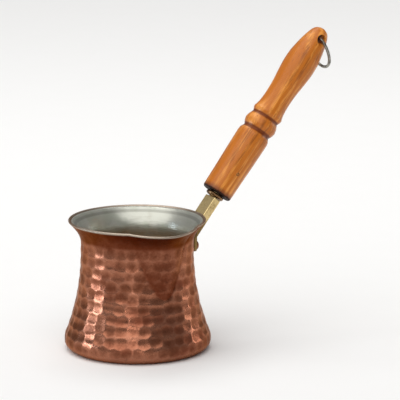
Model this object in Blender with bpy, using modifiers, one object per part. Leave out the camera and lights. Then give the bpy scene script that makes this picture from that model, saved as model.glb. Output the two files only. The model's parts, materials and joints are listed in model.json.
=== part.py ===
"""A Turkish coffee pot: a hammered copper body with a tinned inside, a cast brass bracket riveted to
its neck, and a turned wooden handle with a wire ring to hang it by.

The pot stands on z = 0 with its axis on Z. The handle rises towards +X and the spout points to -Y.
"""

from math import asin, atan2, cos, pi, radians, sin, tan

import bmesh
import bpy
import numpy as np
from mathutils import Matrix, Vector

MM = 0.001
GAP = 0.3 * MM

# Pot, measured on its outer surface
POT_HEIGHT = 68.0 * MM
RIM_RADIUS = 36.0 * MM
NECK_RADIUS = 29.5 * MM
BELLY_RADIUS = 38.0 * MM
BASE_CORNER = 6.0 * MM
BELLY_LEAN = radians(22)
BELLY_HEIGHT = BASE_CORNER * (1 + sin(BELLY_LEAN))
LIP_HEIGHT = 10.0 * MM
LIP_FOOT = POT_HEIGHT - LIP_HEIGHT
LIP_CURVE = 1.6
NECK_HEIGHT = LIP_FOOT - 4.0 * MM
BELLY_CURVE = 2.2
COPPER_WALL = 1.2 * MM
TIN_COAT = 0.35 * MM
RIM_ROUNDING = 0.35 * MM
POT_SIDES = 40
BAND_SIDES = 14

# Spout pressed out of the lip and the neck
SPOUT_REACH = 5.0 * MM
SPOUT_DIP = 1.3 * MM
SPOUT_FOOT = POT_HEIGHT - 36.0 * MM
SPOUT_HALF_ANGLE = radians(34)
SPOUT_FOLD = 0.62
SPOUT_SWELL = 0.65
SPOUT_ROUNDNESS = 1.5
SPOUT_CURL = 6

# Handle: where the wood starts beyond the rim, how steeply it rises, and its size
HANDLE_START = Vector((RIM_RADIUS + 10.7 * MM, 0.0, POT_HEIGHT + 9.4 * MM))
HANDLE_RISE = radians(52)
HANDLE_LENGTH = 104.3 * MM
HANDLE_DIAMETER = 18.0 * MM
BORE_SPARE = 2.0 * MM
COLLAR_DIAMETER = 10.0 * MM
COLLAR_HEIGHT = 2.2 * MM
PIN_DIAMETER = 1.8 * MM
PIN_POSITION = 13.5 * MM
PIN_STANDS_OUT = 0.25 * MM
WOOD_SIDES = 28

# Rivets
RIVET_SHANK = 3.0 * MM
RIVET_HEAD = 4.8 * MM
RIVET_DOME = 1.4 * MM
RIVET_TAIL = 0.8 * MM
RIVET_SPACING = 12.0 * MM

# Brass bracket: the plate reaches from a little above where the strap's middle meets it down
# far enough to hold the rivets clear of the strap
STRAP_WIDTH = 10.0 * MM
STRAP_THICKNESS = 4.2 * MM
STRAP_ROUNDING = 0.6 * MM
PLATE_WIDTH = 20.0 * MM
PLATE_THICKNESS = 1.8 * MM
PLATE_CORNER = 3.0 * MM
PLATE_FACE = NECK_RADIUS + GAP + PLATE_THICKNESS
STRAP_MEETS = HANDLE_START.z - (HANDLE_START.x - PLATE_FACE) * tan(HANDLE_RISE)
PLATE_TOP = STRAP_MEETS + 0.55 * STRAP_THICKNESS
PLATE_BOTTOM = PLATE_TOP - 1.5 * STRAP_THICKNESS - RIVET_HEAD
RIVET_HEIGHT = PLATE_BOTTOM + 0.67 * RIVET_HEAD
TANG_DIAMETER = 4.0 * MM
TANG_IN_WOOD = 36.0 * MM

# The strap's root, as shares of its thickness: how far its underside stands off the plate before
# it turns in, how it eases in and down, and how much of the plate's thickness it leaves behind it
ROOT_STANDS_OFF = 0.35
ROOT_EASE_IN = 0.19
ROOT_EASE_DOWN = 0.28
ROOT_FOOT_DOWN = 0.55
ROOT_BEHIND = 0.2

# Hanging ring
RING_RADIUS = 8.7 * MM
RING_WIRE = 1.6 * MM
RING_RIDE = 1.1 * MM
RING_BUTT_GAP = 0.4 * MM
RING_HOLE = RING_WIRE + 2.8 * MM
RING_HOLE_MOUTH = RING_HOLE + 3.0 * MM
RING_HOLE_FROM_TIP = 5.8 * MM
RING_SWUNG_OUT = radians(16)
RING_SEAM = radians(-60)

# The wood's turned outline: share of the length from the pot's end, share of the largest diameter
WOOD_OUTLINE = (
    (0.000, 0.860),
    (0.008, 0.915),
    (0.120, 0.940),
    (0.225, 0.968),
    (0.335, 0.985),
    (0.352, 0.962),
    (0.366, 0.880),
    (0.374, 0.840),
    (0.382, 0.885),
    (0.394, 0.955),
    (0.412, 1.000),
    (0.430, 0.960),
    (0.446, 0.885),
    (0.457, 0.835),
    (0.468, 0.885),
    (0.482, 0.935),
    (0.496, 0.890),
    (0.520, 0.835),
    (0.570, 0.798),
    (0.620, 0.812),
    (0.670, 0.862),
    (0.720, 0.925),
    (0.772, 0.965),
    (0.815, 0.950),
    (0.860, 0.880),
    (0.905, 0.780),
    (0.945, 0.660),
    (0.972, 0.545),
    (0.990, 0.400),
    (1.000, 0.200),
)

PIECES = "Turkish coffee pot"
HELPERS = "Helpers"


def start_clean():
    for old in list(bpy.data.objects):
        bpy.data.objects.remove(old)
    for name in (PIECES, HELPERS):
        bpy.context.scene.collection.children.link(bpy.data.collections.new(name))
    bpy.data.collections[HELPERS].hide_render = True


def material(name, colour, metallic, roughness):
    made = bpy.data.materials.new(name)
    made.use_nodes = True
    shader = made.node_tree.nodes["Principled BSDF"]
    shader.inputs["Base Color"].default_value = (*colour, 1.0)
    shader.inputs["Metallic"].default_value = metallic
    shader.inputs["Roughness"].default_value = roughness
    made.diffuse_color = (*colour, 1.0)
    return made


def piece(name, mesh, slot):
    made = bpy.data.objects.new(name, mesh)
    mesh.materials.clear()
    mesh.materials.append(slot)
    bpy.data.collections[PIECES].objects.link(made)
    return made


def helper(name, mesh):
    """A shape that only cuts or adds to a piece."""
    made = bpy.data.objects.new(name, mesh)
    made.hide_render = True
    made.display_type = "WIRE"
    bpy.data.collections[HELPERS].objects.link(made)
    return made


def shade(mesh, angle=radians(35)):
    for face in mesh.polygons:
        face.use_smooth = True
    mesh.set_sharp_from_angle(angle=angle)
    return mesh


def outline_mesh(name, points, closed=False):
    """Edges through (radius, height) points, in the XZ plane."""
    count = len(points)
    edges = [(i, i + 1) for i in range(count - 1)]
    if closed:
        edges.append((count - 1, 0))
    mesh = bpy.data.meshes.new(name)
    mesh.from_pydata([(radius, 0.0, height) for radius, height in points], edges, [])
    return mesh


def turn(obj, sides, angle=2 * pi):
    screw = obj.modifiers.new("Turned", "SCREW")
    screw.angle = angle
    screw.steps = sides
    screw.render_steps = sides
    screw.use_merge_vertices = True
    screw.merge_threshold = 0.00001
    screw.use_smooth_shade = True
    return screw


def baked(obj):
    """The object's mesh with its modifiers applied. The object itself is removed."""
    bpy.context.view_layer.update()
    graph = bpy.context.evaluated_depsgraph_get()
    mesh = bpy.data.meshes.new_from_object(obj.evaluated_get(graph))
    mesh.transform(obj.matrix_world)
    bpy.data.objects.remove(obj)
    return mesh


def tidy(mesh, flat_faces=False):
    """Joins a curve's loose caps to its sides and turns every face outwards."""
    shape = bmesh.new()
    shape.from_mesh(mesh)
    bmesh.ops.remove_doubles(shape, verts=shape.verts, dist=0.000005)
    if flat_faces:
        bmesh.ops.dissolve_limit(
            shape, angle_limit=radians(1), verts=shape.verts, edges=shape.edges
        )
    bmesh.ops.recalc_face_normals(shape, faces=shape.faces)
    shape.to_mesh(mesh)
    shape.free()
    return mesh


def turned_mesh(name, points, sides):
    blank = helper(name, outline_mesh(name, points))
    turn(blank, sides)
    return tidy(baked(blank))


def rod_mesh(name, radius, start, end, sides=20):
    """A round rod between two points."""
    along = end - start
    shape = bmesh.new()
    bmesh.ops.create_cone(
        shape, cap_ends=True, segments=sides, radius1=radius, radius2=radius, depth=along.length
    )
    mesh = bpy.data.meshes.new(name)
    shape.to_mesh(mesh)
    shape.free()
    turn_to = Vector((0, 0, 1)).rotation_difference(along.normalized())
    mesh.transform(Matrix.Translation((start + end) / 2) @ turn_to.to_matrix().to_4x4())
    return mesh


def block_mesh(name, outline, thickness, stand, rounding=0.0):
    """A flat outline given its thickness, then stood up by a rotation."""
    curve = bpy.data.curves.new(name, "CURVE")
    curve.dimensions = "2D"
    curve.fill_mode = "BOTH"
    curve.extrude = thickness / 2
    line = curve.splines.new("POLY")
    line.points.add(len(outline) - 1)
    for place, (across, up) in zip(line.points, outline):
        place.co = (across, up, 0.0, 1.0)
    line.use_cyclic_u = True
    blank = helper(name, curve)
    blank.rotation_euler = stand
    mesh = tidy(baked(blank), flat_faces=True)
    if rounding:
        blank = helper(name, mesh)
        round_edges(blank, rounding)
        mesh = tidy(baked(blank))
    return mesh


def boolean(obj, other, operation="DIFFERENCE"):
    cut = obj.modifiers.new(other.name, "BOOLEAN")
    cut.operation = operation
    cut.solver = "EXACT"
    cut.object = other


def radius_at(height):
    """The pot's outer radius at a height above its belly."""
    if height > LIP_FOOT:
        return NECK_RADIUS + (RIM_RADIUS - NECK_RADIUS) * ((height - LIP_FOOT) / LIP_HEIGHT) ** LIP_CURVE
    if height < NECK_HEIGHT:
        drop = (NECK_HEIGHT - height) / (NECK_HEIGHT - BELLY_HEIGHT)
        return NECK_RADIUS + (BELLY_RADIUS - NECK_RADIUS) * drop**BELLY_CURVE
    return NECK_RADIUS


def pot_outline():
    """(radius, height) down the outside, from the rim to the middle of the base."""
    heights = [LIP_FOOT + LIP_HEIGHT * rise for rise in (1.0, 0.93, 0.82, 0.67, 0.5, 0.3, 0.1)]
    heights.append((LIP_FOOT + NECK_HEIGHT) / 2)
    for drop in (0.1, 0.25, 0.4, 0.54, 0.67, 0.79, 0.9, 1.0):
        heights.append(NECK_HEIGHT - (NECK_HEIGHT - BELLY_HEIGHT) * drop)
    points = [(radius_at(height), height) for height in heights]
    middle = BELLY_RADIUS - BASE_CORNER * cos(BELLY_LEAN)
    for share in (0.22, 0.42, 0.62, 0.81, 1.0):
        angle = BELLY_LEAN - (BELLY_LEAN + pi / 2) * share
        points.append((middle + BASE_CORNER * cos(angle), BASE_CORNER * (1 + sin(angle))))
    points.append((0.0, 0.0))
    return points


def press_spout(point):
    """Moves a point of the turned pot out to form the spout."""
    share = (point.z - SPOUT_FOOT) / (POT_HEIGHT - SPOUT_FOOT)
    if share <= 0:
        return point
    half_angle = SPOUT_HALF_ANGLE * min(share, 1.0) ** SPOUT_FOLD
    away = abs(atan2(point.x, -point.y))
    if away >= half_angle:
        return point
    swell = 1 - (away / half_angle) ** SPOUT_ROUNDNESS
    flat = Vector((point.x, point.y, 0.0))
    out = flat.normalized() * SPOUT_REACH * swell * share**SPOUT_SWELL
    down = SPOUT_DIP * swell * share**SPOUT_CURL
    return point + out - Vector((0, 0, down))


def pot_surface(name, depth, skip):
    """The pot's outer surface moved in by a depth, without its first rings from the rim."""
    mesh = turned_mesh(name, pot_outline(), POT_SIDES)
    shape = bmesh.new()
    shape.from_mesh(mesh)
    for vert in shape.verts:
        vert.co = press_spout(vert.co)
    shape.normal_update()
    base = min(shape.verts, key=lambda vert: (vert.co.xy.length, vert.co.z))
    if base.normal.z > 0:
        bmesh.ops.reverse_faces(shape, faces=shape.faces)
        shape.normal_update()
    for _ in range(skip):
        edge = [vert for vert in shape.verts if vert.is_boundary]
        bmesh.ops.delete(shape, geom=edge, context="VERTS")
    moves = [(vert, vert.co - vert.normal * depth) for vert in shape.verts]
    for vert, place in moves:
        vert.co = place
    shape.to_mesh(mesh)
    shape.free()
    return shade(mesh)


def thicken(obj, thickness):
    wall = obj.modifiers.new("Wall", "SOLIDIFY")
    wall.thickness = thickness
    wall.offset = -1.0
    wall.use_even_offset = True
    wall.use_quality_normals = True


def round_edges(obj, width, segments=2, angle=radians(50)):
    bevel = obj.modifiers.new("Rounded edges", "BEVEL")
    bevel.width = width
    bevel.segments = segments
    bevel.limit_method = "ANGLE"
    bevel.angle_limit = angle
    bevel.use_clamp_overlap = True


def rivet_places():
    """For each rivet, its name and the direction it points in, out from the pot's axis."""
    angle = asin(RIVET_SPACING / 2 / radius_at(RIVET_HEIGHT))
    return (
        ("rivet_left", Vector((cos(angle), sin(angle), 0.0))),
        ("rivet_right", Vector((cos(angle), -sin(angle), 0.0))),
    )


def handle_frame():
    """The wood's own frame: its origin at the pot's end, its Z up the middle of the handle."""
    return Matrix.Translation(HANDLE_START) @ Matrix.Rotation(pi / 2 - HANDLE_RISE, 4, "Y")


def on_handle(up, below=0.0):
    """(x, z) at a distance up the handle's middle line and a distance under it."""
    point = handle_frame() @ Vector((below, 0.0, up))
    return point.x, point.z


def strap_mesh():
    """The strap, from its root in the plate up to the collar, with rounded edges."""
    half = STRAP_THICKNESS / 2
    top = -(COLLAR_HEIGHT + 2 * GAP)
    root = radius_at(PLATE_TOP) + GAP + ROOT_BEHIND * PLATE_THICKNESS
    rise = Vector((cos(HANDLE_RISE), 0.0, sin(HANDLE_RISE)))

    def level_with(x, below):
        start = on_handle(0.0, below)
        return (x - start[0]) / rise.x

    upper = on_handle(level_with(root, -half), -half)
    corner_x = PLATE_FACE + ROOT_STANDS_OFF * STRAP_THICKNESS
    corner = on_handle(level_with(corner_x, half), half)
    foot = corner[1] - ROOT_FOOT_DOWN * STRAP_THICKNESS
    points = [
        on_handle(top, -half),
        on_handle(top, half),
        corner,
        (corner[0] - ROOT_EASE_IN * STRAP_THICKNESS, corner[1] - ROOT_EASE_DOWN * STRAP_THICKNESS),
        (PLATE_FACE - GAP, foot),
        (root, foot),
        upper,
    ]
    return block_mesh("strap", points, STRAP_WIDTH, (pi / 2, 0, 0), STRAP_ROUNDING)


def band_mesh():
    """A band that follows the neck, a little wider and taller than the plate cut from it."""
    half_span = 1.25 * asin(PLATE_WIDTH / 2 / NECK_RADIUS)
    spare = 1.0 * MM
    heights = np.linspace(PLATE_TOP + spare, PLATE_BOTTOM - spare, 7)
    outside = [(radius_at(h) + GAP + PLATE_THICKNESS, h) for h in heights]
    inside = [(radius_at(h) + GAP, h) for h in reversed(heights)]
    blank = helper("band", outline_mesh("band", outside + inside, closed=True))
    turn(blank, BAND_SIDES, 2 * half_span)
    blank.rotation_euler.z = -half_span
    mesh = baked(blank)
    shape = bmesh.new()
    shape.from_mesh(mesh)
    bmesh.ops.holes_fill(shape, edges=[edge for edge in shape.edges if edge.is_boundary])
    bmesh.ops.recalc_face_normals(shape, faces=shape.faces)
    shape.to_mesh(mesh)
    shape.free()
    return mesh


def plate_outline_mesh():
    """A long block with the plate's rounded outline, seen along X."""
    half_wide = PLATE_WIDTH / 2
    corners = (
        (half_wide - PLATE_CORNER, PLATE_TOP - PLATE_CORNER, 0),
        (PLATE_CORNER - half_wide, PLATE_TOP - PLATE_CORNER, 90),
        (PLATE_CORNER - half_wide, PLATE_BOTTOM + PLATE_CORNER, 180),
        (half_wide - PLATE_CORNER, PLATE_BOTTOM + PLATE_CORNER, 270),
    )
    outline = []
    for y, z, start in corners:
        for turned in (0, 30, 60, 90):
            angle = radians(start + turned)
            outline.append((y + PLATE_CORNER * cos(angle), z + PLATE_CORNER * sin(angle)))
    return block_mesh("plate outline", outline, 4 * RIM_RADIUS, (pi / 2, 0, pi / 2))


def wood_outline():
    """(radius, height) down the outside from the tip, then up the bore for the tang."""
    points = [
        (HANDLE_DIAMETER / 2 * wide, HANDLE_LENGTH * up) for up, wide in reversed(WOOD_OUTLINE)
    ]
    bore = TANG_DIAMETER / 2 + GAP
    deep = TANG_IN_WOOD + BORE_SPARE
    return [(0.0, HANDLE_LENGTH)] + points + [(bore, 0.0), (bore, deep), (0.0, deep)]


def wood_radius_at(up):
    places = [share * HANDLE_LENGTH for share, _ in WOOD_OUTLINE]
    radii = [HANDLE_DIAMETER / 2 * wide for _, wide in WOOD_OUTLINE]
    return float(np.interp(up, places, radii))


def ring_hole_mesh(hinge, up):
    """The cross hole for the ring, with its two mouths eased so that the wire can turn."""
    half = wood_radius_at(up) + 0.6 * MM
    flare = (RING_HOLE_MOUTH - RING_HOLE) / 2
    mouth = RING_HOLE_MOUTH / 2
    hole = RING_HOLE / 2
    outline = (
        (0.0, half),
        (mouth, half),
        (hole, half - flare),
        (hole, flare - half),
        (mouth, -half),
        (0.0, -half),
    )
    mesh = turned_mesh("ring hole", outline, 20)
    mesh.transform(Matrix.Translation(hinge) @ Matrix.Rotation(pi / 2, 4, "X"))
    return mesh


def ring_mesh():
    """A bent wire in the YZ plane about the origin, which is where it turns in its hole."""
    below = RING_RADIUS - RING_RIDE
    half_gap = RING_BUTT_GAP / 2 / RING_RADIUS
    curve = bpy.data.curves.new("ring", "CURVE")
    curve.dimensions = "3D"
    curve.bevel_depth = RING_WIRE / 2
    curve.bevel_resolution = 2
    curve.use_fill_caps = True
    line = curve.splines.new("POLY")
    count = 40
    line.points.add(count - 1)
    for place, angle in zip(line.points, np.linspace(half_gap, 2 * pi - half_gap, count)):
        y = RING_RADIUS * cos(RING_SEAM + angle)
        z = RING_RADIUS * sin(RING_SEAM + angle) - below
        place.co = (0.0, y, z, 1.0)
    return tidy(baked(helper("ring wire", curve)))


def build_pot(copper, tin):
    pot = piece("pot_body", pot_surface("pot_body", 0.0, 0), copper)
    thicken(pot, COPPER_WALL)
    round_edges(pot, RIM_ROUNDING)
    lining = piece("tin_lining", pot_surface("tin_lining", COPPER_WALL + GAP, 1), tin)
    thicken(lining, TIN_COAT)
    return pot, lining


def build_bracket(brass):
    bracket = piece("handle_bracket", band_mesh(), brass)
    boolean(bracket, helper("plate outline", plate_outline_mesh()), "INTERSECT")
    boolean(bracket, helper("strap", strap_mesh()), "UNION")
    frame = handle_frame()
    foot = frame @ Vector((0, 0, -(COLLAR_HEIGHT + 2 * GAP) - 3 * MM))
    tip = frame @ Vector((0, 0, TANG_IN_WOOD))
    boolean(bracket, helper("tang", rod_mesh("tang", TANG_DIAMETER / 2, foot, tip)), "UNION")
    return bracket


def build_rivets(copper, drilled):
    """The rivets, with their holes through the copper, the tin and the plate."""
    neck = radius_at(RIVET_HEIGHT)
    face = neck + GAP + PLATE_THICKNESS + GAP
    inside = neck - COPPER_WALL - GAP - TIN_COAT
    head = RIVET_HEAD / 2
    bend = inside - (inside**2 - head**2) ** 0.5
    tail = inside - bend - GAP - face
    shank = RIVET_SHANK / 2
    outline = (
        (0.0, RIVET_DOME),
        (0.45 * head, 0.9 * RIVET_DOME),
        (0.8 * head, 0.58 * RIVET_DOME),
        (head, 0.0),
        (shank, 0.0),
        (shank, tail),
        (head, tail),
        (0.85 * head, tail - 0.8 * RIVET_TAIL),
        (0.0, tail - RIVET_TAIL),
    )
    for name, outward in rivet_places():
        rivet = piece(name, turned_mesh(name, outline, 16), copper)
        shade(rivet.data)
        rivet.location = outward * face + Vector((0, 0, RIVET_HEIGHT))
        rivet.rotation_mode = "QUATERNION"
        rivet.rotation_quaternion = Vector((0, 0, 1)).rotation_difference(outward)
        level = Vector((0, 0, RIVET_HEIGHT))
        start = outward * (inside - 3 * MM) + level
        end = outward * (face + 3 * MM) + level
        hole = helper(f"{name} hole", rod_mesh(f"{name} hole", shank + GAP, start, end, 16))
        for obj in drilled:
            boolean(obj, hole)


def build_handle(brass, wood_slot, steel, bracket):
    frame = handle_frame()
    axis = bpy.data.objects.new("handle_axis", None)
    axis.matrix_world = frame
    bpy.data.collections[PIECES].objects.link(axis)
    wood = piece("wooden_handle", turned_mesh("wooden_handle", wood_outline(), WOOD_SIDES), wood_slot)
    shade(wood.data, radians(40))
    wood.parent = axis

    collar_radius = COLLAR_DIAMETER / 2
    bore = TANG_DIAMETER / 2 + GAP
    collar_outline = (
        (bore, COLLAR_HEIGHT),
        (0.8 * collar_radius, COLLAR_HEIGHT),
        (0.96 * collar_radius, 0.75 * COLLAR_HEIGHT),
        (collar_radius, 0.5 * COLLAR_HEIGHT),
        (0.96 * collar_radius, 0.25 * COLLAR_HEIGHT),
        (0.8 * collar_radius, 0.0),
        (bore, 0.0),
        (bore, COLLAR_HEIGHT),
    )
    collar = piece("handle_collar", turned_mesh("handle_collar", collar_outline, 24), brass)
    shade(collar.data)
    collar.parent = axis
    collar.location.z = -COLLAR_HEIGHT - GAP

    half = wood_radius_at(PIN_POSITION) + PIN_STANDS_OUT
    pin_radius = PIN_DIAMETER / 2
    pin_outline = (
        (0.0, half),
        (0.7 * pin_radius, half - 0.1 * pin_radius),
        (pin_radius, half - 0.4 * pin_radius),
        (pin_radius, 0.4 * pin_radius - half),
        (0.7 * pin_radius, 0.1 * pin_radius - half),
        (0.0, -half),
    )
    pin = piece("handle_pin", turned_mesh("handle_pin", pin_outline, 16), steel)
    shade(pin.data)
    pin.parent = axis
    pin.location.z = PIN_POSITION
    pin.rotation_euler.x = pi / 2

    pin_middle = frame @ Vector((0, 0, PIN_POSITION))
    reach = Vector((0, HANDLE_DIAMETER, 0))
    pin_hole = rod_mesh("pin hole", pin_radius + GAP, pin_middle - reach, pin_middle + reach, 16)
    pin_hole = helper("pin hole", pin_hole)
    boolean(wood, pin_hole)
    boolean(bracket, pin_hole)
    return wood


def build_ring(steel, wood):
    up = HANDLE_LENGTH - RING_HOLE_FROM_TIP
    hinge = handle_frame() @ Vector((0, 0, up))
    ring = piece("hanging_ring", ring_mesh(), steel)
    shade(ring.data)
    ring.location = hinge
    ring.rotation_euler.y = -RING_SWUNG_OUT

    boolean(wood, helper("ring hole", ring_hole_mesh(hinge, up)))


def build():
    start_clean()
    copper = material("hammered_copper", (0.42, 0.15, 0.08), 1.0, 0.35)
    tin = material("tinned_inside", (0.62, 0.60, 0.54), 1.0, 0.35)
    brass = material("cast_brass", (0.62, 0.45, 0.18), 1.0, 0.35)
    rivet_copper = material("rivet_copper", (0.46, 0.19, 0.11), 1.0, 0.4)
    wood_slot = material("oiled_wood", (0.56, 0.20, 0.06), 0.0, 0.4)
    steel = material("aged_wire", (0.30, 0.29, 0.26), 1.0, 0.45)

    pot, lining = build_pot(copper, tin)
    bracket = build_bracket(brass)
    build_rivets(rivet_copper, (pot, lining, bracket))
    wood = build_handle(brass, wood_slot, steel, bracket)
    build_ring(steel, wood)


build()
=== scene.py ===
"""A Turkish coffee pot: hammered copper with a tinned inside, a cast brass bracket and a turned
wooden handle that hangs from a wire ring."""

import json
from math import cos, pi, radians, sin

import bmesh
import bpy
import numpy as np
from bpy.props import FloatProperty, FloatVectorProperty, PointerProperty
from mathutils import Matrix, Vector


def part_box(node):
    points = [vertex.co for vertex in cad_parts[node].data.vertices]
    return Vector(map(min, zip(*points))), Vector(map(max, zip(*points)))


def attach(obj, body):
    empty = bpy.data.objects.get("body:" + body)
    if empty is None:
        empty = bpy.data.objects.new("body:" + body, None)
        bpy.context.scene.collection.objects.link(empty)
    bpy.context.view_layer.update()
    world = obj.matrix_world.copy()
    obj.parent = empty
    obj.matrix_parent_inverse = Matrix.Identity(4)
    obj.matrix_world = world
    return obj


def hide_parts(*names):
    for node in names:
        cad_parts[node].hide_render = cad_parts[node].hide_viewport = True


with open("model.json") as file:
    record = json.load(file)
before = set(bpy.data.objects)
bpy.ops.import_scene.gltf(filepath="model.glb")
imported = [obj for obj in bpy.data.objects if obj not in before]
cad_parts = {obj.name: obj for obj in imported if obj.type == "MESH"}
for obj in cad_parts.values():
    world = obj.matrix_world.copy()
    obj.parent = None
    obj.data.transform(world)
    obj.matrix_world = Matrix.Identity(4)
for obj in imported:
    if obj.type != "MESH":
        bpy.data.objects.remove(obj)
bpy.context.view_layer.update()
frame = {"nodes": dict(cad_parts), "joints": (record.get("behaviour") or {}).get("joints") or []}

bl_info = {
    "name": "Turkish coffee pot",
    "version": (1, 0, 0),
    "blender": (4, 5, 0),
    "location": "3D View > Sidebar > Coffee pot",
    "description": "Builds a hammered copper coffee pot with a tinned inside and a turned handle",
    "category": "Add Mesh",
}

MM = 0.001
CAMERA_TURN = radians(-29)
HINGE = Vector(frame["joints"][0]["pos_m"])
HANDLE_START = Vector((46.7, 0.0, 77.4)) * MM
HANDLE_RISE = radians(52)
WOOD_LENGTH = 104.3 * MM
WOOD_WIDEST = 18.0 * MM
WOOD_OUTLINE = np.array(
    (
        (0.000, 0.860),
        (0.008, 0.915),
        (0.120, 0.940),
        (0.225, 0.968),
        (0.335, 0.985),
        (0.352, 0.962),
        (0.366, 0.880),
        (0.374, 0.840),
        (0.382, 0.885),
        (0.394, 0.955),
        (0.412, 1.000),
        (0.430, 0.960),
        (0.446, 0.885),
        (0.457, 0.835),
        (0.468, 0.885),
        (0.482, 0.935),
        (0.496, 0.890),
        (0.520, 0.835),
        (0.570, 0.798),
        (0.620, 0.812),
        (0.670, 0.862),
        (0.720, 0.925),
        (0.772, 0.965),
        (0.815, 0.950),
        (0.860, 0.880),
        (0.905, 0.780),
        (0.945, 0.660),
        (0.972, 0.545),
        (0.990, 0.400),
        (1.000, 0.200),
    )
)
WOOD_SIDES = 112
RING_STEPS = 168
PIN_UP = 13.5 * MM
PIN_DRILL = 0.98 * MM
PLATE_THICKNESS = 1.8 * MM
PIECE_GAP = 0.3 * MM
RIVET_SEAT = 0.15 * MM
RIVET_TAIL_RADIUS = 27.45 * MM
COLLAR_DROP = 2.5 * MM
CORNER_LEAN = radians(22)
SPOUT_HALF_ANGLE = radians(34)
SPOUT_WIDENING = 0.62
LIP_FLARE = 1.6
BODY_FLARE = 2.2

COPPER_BLUSH = (0.20, 0.046, 0.022)
COPPER_RUBBED = (0.46, 0.20, 0.125)
COPPER_SPOT = (0.050, 0.018, 0.011)
COPPER_GRAZING = (0.80, 0.56, 0.44)
TIN_GREEN = (0.34, 0.37, 0.28)
TIN_GROOVE_SHADE = (0.13, 0.125, 0.105)
TIN_BROWN = (0.70, 0.50, 0.32)
COLLAR_BRASS = (0.36, 0.21, 0.10)
COLLAR_DULL = (0.105, 0.050, 0.020)
WOOD_GROOVE_SHADE = (0.125, 0.020, 0.003)
WOOD_END_BROWN = (0.130, 0.026, 0.008)
PIN_CLEAN = (0.42, 0.18, 0.055)
PIN_DULL = (0.26, 0.085, 0.022)
FLOOR_CLOUD = (0.86, 0.85, 0.83)
WHITE = (1.0, 1.0, 1.0)
DAYLIGHT = (0.84, 1.02, 1.22)
WORLD_LIGHT = (0.28, 0.28, 0.285, 1.0)
WORLD_SEEN = (0.80, 0.80, 0.795, 1.0)


def length(name, description, default):
    return FloatProperty(
        name=name, description=description, default=default, min=0.0, unit="LENGTH", precision=5
    )


def colour(name, description, default):
    return FloatVectorProperty(
        name=name, description=description, default=default, size=3, min=0.0, max=1.0, subtype="COLOR"
    )


class PotSettings(bpy.types.PropertyGroup):
    """Sizes and colours of the copper pot and its tinned inside."""

    height: length("Height", "From the base to the outer edge of the lip", 68.0 * MM)
    rim_radius: length("Rim radius", "Outer radius of the lip's edge", 36.0 * MM)
    neck_radius: length("Neck radius", "Outer radius at the neck", 29.5 * MM)
    belly_radius: length("Belly radius", "Outer radius low on the body", 38.0 * MM)
    lip_height: length("Lip height", "From the neck to the lip's edge", 10.0 * MM)
    neck_height: length("Neck height", "Where the body starts to widen", 54.0 * MM)
    base_corner: length("Base corner", "Radius of the corner round the base", 6.0 * MM)
    wall: length("Wall", "Thickness of the copper", 1.2 * MM)
    spout_reach: length("Spout reach", "How far the spout stands out of the lip", 5.0 * MM)
    spout_dip: length("Spout dip", "How far the lip drops at the spout", 1.3 * MM)
    spout_foot: length("Spout foot", "Height where the spout's fold starts", 32.0 * MM)
    mark_pitch: length("Hammer row pitch", "Between rows of hammer marks", 5.6 * MM)
    mark_width: length("Hammer mark width", "Along a row of hammer marks", 6.2 * MM)
    mark_depth: length("Hammer mark depth", "Depth of one hammer mark", 0.36 * MM)
    copper: colour("Copper", "Rubbed copper on the high spots", (0.35, 0.134, 0.075))
    patina: colour("Patina", "Dull brown copper in the hammer marks", (0.140, 0.042, 0.019))
    # Painted shade: the dark colour put under the lip and into the spout's fold.
    painted_shade: colour("Soot", "Dark film under the lip and in the fold", (0.105, 0.019, 0.0045))
    rim: colour("Rim", "Worn tin and copper on the lip's edge", (0.36, 0.30, 0.24))
    tin: colour("Tin", "Wiped tin", (0.47, 0.47, 0.41))
    tin_stain: colour("Tin stain", "Tin stained by coffee", (0.22, 0.165, 0.10))


class HandleSettings(bpy.types.PropertyGroup):
    """Sizes and colours of the brass, the wood and the wire."""

    wire: length("Ring wire", "Diameter of the ring's wire", 1.6 * MM)
    ring_radius: length("Ring radius", "To the middle of the wire", 8.7 * MM)
    swung_out: FloatProperty(
        name="Ring swung out",
        description="How far the ring rests out from hanging straight down",
        default=radians(16),
        subtype="ANGLE",
    )
    brass: colour("Brass", "Rubbed cast brass", (0.76, 0.58, 0.28))
    # Dull brass also paints the shade on the bracket's plate under the lip.
    brass_dark: colour("Dull brass", "Tarnish in the hollows", (0.26, 0.165, 0.060))
    wood: colour("Wood", "Oiled wood", (0.52, 0.150, 0.013))
    wood_light: colour("Light grain", "Pale early wood", (0.86, 0.345, 0.062))
    wood_dark: colour("Dark grain", "Late wood and pores", (0.17, 0.034, 0.004))
    # Darkest colour of the wood, at its end by the pot.
    end_dark: colour("Burnt end", "The charred band at the pot's end", (0.014, 0.0035, 0.002))
    steel: colour("Wire", "Bare steel", (0.33, 0.32, 0.285))
    rust: colour("Rust", "Brown film on the wire", (0.050, 0.028, 0.014))


class StageSettings(bpy.types.PropertyGroup):
    """The floor, the lights and the camera."""

    lens: FloatProperty(name="Lens", description="Focal length", default=232.0, min=1.0)
    floor: colour("Floor", "Plain pale floor", (0.90, 0.895, 0.88))
    sun: FloatProperty(name="Sun", description="Strength of the wide sun", default=2.2)
    key: FloatProperty(name="Left light", description="Power of the light at the left", default=2.1)
    fill: FloatProperty(name="Front light", description="Power of the narrow front light", default=0.45)
    side: FloatProperty(name="Side light", description="Power of the handle's side light", default=0.8)
    top: FloatProperty(name="Top light", description="Power of the broad top light", default=4.2)


# ---------------------------------------------------------------- shader expressions


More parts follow.
